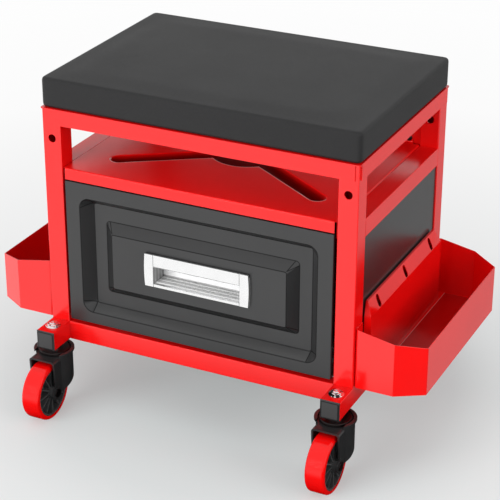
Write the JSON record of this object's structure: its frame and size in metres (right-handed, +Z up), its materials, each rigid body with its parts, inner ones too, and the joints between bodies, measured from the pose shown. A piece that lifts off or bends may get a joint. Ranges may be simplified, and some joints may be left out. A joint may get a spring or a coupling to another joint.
{
  "type": "workshop stool",
  "caption": "Low rolling workshop stool with a padded seat, a tool shelf, a drawer on slides and a sheet-steel bin with a tool rack on each side.",
  "frame": {"origin": "on the floor under the middle of the stool", "axes": "+X to the right bin, -Y to the drawer side (front), +Z up"},
  "size_m": [0.51, 0.3954, 0.388],
  "materials": {
    "red_paint": "gloss powder coat",
    "grey_paint": "semi-gloss powder coat",
    "black_vinyl": "smooth matte vinyl",
    "foam": "open foam",
    "plywood": "bare ply",
    "black_plastic": "satin",
    "red_tyre": "smooth hard rubber",
    "chrome": "polished",
    "zinc": "zinc plated"
  },
  "bodies": {
    "stool": {"back_panel": "grey_paint", "bin_tray_left": "red_paint", "bin_tray_right": "red_paint", "bin_wall_left": "red_paint", "bin_wall_right": "red_paint", "caster_races": "zinc", "caster_stems": "chrome", "front_rail": "red_paint", "leg_front_left": "red_paint", "leg_front_right": "red_paint", "leg_rear_left": "red_paint", "leg_rear_right": "red_paint", "rear_rail": "red_paint", "seat_board": "plywood", "seat_cover": "black_vinyl", "seat_foam": "foam", "seat_pan": "red_paint", "seat_screws": "zinc", "shelf_screws": "zinc", "side_panel_left": "grey_paint", "side_panel_right": "grey_paint", "side_tube_left": "red_paint", "side_tube_right": "red_paint", "slide_outer_left": "zinc", "slide_outer_right": "zinc", "slide_rail_screws": "zinc", "stem_nuts": "chrome", "tool_shelf": "red_paint", "tube_caps": "black_plastic", "upper_rail_left": "red_paint", "upper_rail_rear": "red_paint", "upper_rail_right": "red_paint"},
    "drawer": {"drawer_front": "grey_paint", "drawer_box": "grey_paint", "handle_cup": "chrome", "handle_end_caps": "chrome", "handle_screws": "zinc", "slide_inner_left": "zinc", "slide_inner_right": "zinc", "slide_drawer_screws": "zinc"},
    "slide_middle_left": {"slide_middle_left": "zinc"},
    "slide_middle_right": {"slide_middle_right": "zinc"},
    "fork_front_left": {"caster_fork_front_left": "black_plastic", "wheel_axle_front_left": "zinc"},
    "wheel_front_left": {"wheel_hub_front_left": "black_plastic", "wheel_tyre_front_left": "red_tyre"},
    "fork_front_right": {"caster_fork_front_right": "black_plastic", "wheel_axle_front_right": "zinc"},
    "wheel_front_right": {"wheel_hub_front_right": "black_plastic", "wheel_tyre_front_right": "red_tyre"},
    "fork_rear_left": {"caster_fork_rear_left": "black_plastic", "wheel_axle_rear_left": "zinc"},
    "wheel_rear_left": {"wheel_hub_rear_left": "black_plastic", "wheel_tyre_rear_left": "red_tyre"},
    "fork_rear_right": {"caster_fork_rear_right": "black_plastic", "wheel_axle_rear_right": "zinc"},
    "wheel_rear_right": {"wheel_hub_rear_right": "black_plastic", "wheel_tyre_rear_right": "red_tyre"}
  },
  "joints": [
    {"name": "drawer_slide", "type": "slide", "parent": "stool", "child": "drawer", "axis": [0, -1, 0], "range_m": [0, 0.18]},
    {"name": "slide_middle_left_slide", "type": "slide", "parent": "stool", "child": "slide_middle_left", "axis": [0, -1, 0], "range_m": [0, 0.09]},
    {"name": "slide_middle_right_slide", "type": "slide", "parent": "stool", "child": "slide_middle_right", "axis": [0, -1, 0], "range_m": [0, 0.09]},
    {"name": "swivel_front_left", "type": "hinge", "parent": "stool", "child": "fork_front_left", "pos_m": [-0.1705, -0.1425, 0.07], "axis": [0, 0, 1], "continuous": true},
    {"name": "wheel_spin_front_left", "type": "hinge", "parent": "fork_front_left", "child": "wheel_front_left", "pos_m": [-0.1705, -0.1652, 0.0325], "axis": [1, 0, 0], "continuous": true},
    {"name": "swivel_front_right", "type": "hinge", "parent": "stool", "child": "fork_front_right", "pos_m": [0.1705, -0.1425, 0.07], "axis": [0, 0, 1], "continuous": true},
    {"name": "wheel_spin_front_right", "type": "hinge", "parent": "fork_front_right", "child": "wheel_front_right", "pos_m": [0.1705, -0.1652, 0.0325], "axis": [1, 0, 0], "continuous": true},
    {"name": "swivel_rear_left", "type": "hinge", "parent": "stool", "child": "fork_rear_left", "pos_m": [-0.1705, 0.1425, 0.07], "axis": [0, 0, 1], "continuous": true},
    {"name": "wheel_spin_rear_left", "type": "hinge", "parent": "fork_rear_left", "child": "wheel_rear_left", "pos_m": [-0.1705, 0.1652, 0.0325], "axis": [1, 0, 0], "continuous": true},
    {"name": "swivel_rear_right", "type": "hinge", "parent": "stool", "child": "fork_rear_right", "pos_m": [0.1705, 0.1425, 0.07], "axis": [0, 0, 1], "continuous": true},
    {"name": "wheel_spin_rear_right", "type": "hinge", "parent": "fork_rear_right", "child": "wheel_rear_right", "pos_m": [0.1705, 0.1652, 0.0325], "axis": [1, 0, 0], "continuous": true}
  ],
  "couplings": [
    {"joint": "slide_middle_left_slide", "follows": "drawer_slide", "ratio": 0.5},
    {"joint": "slide_middle_right_slide", "follows": "drawer_slide", "ratio": 0.5}
  ]
}
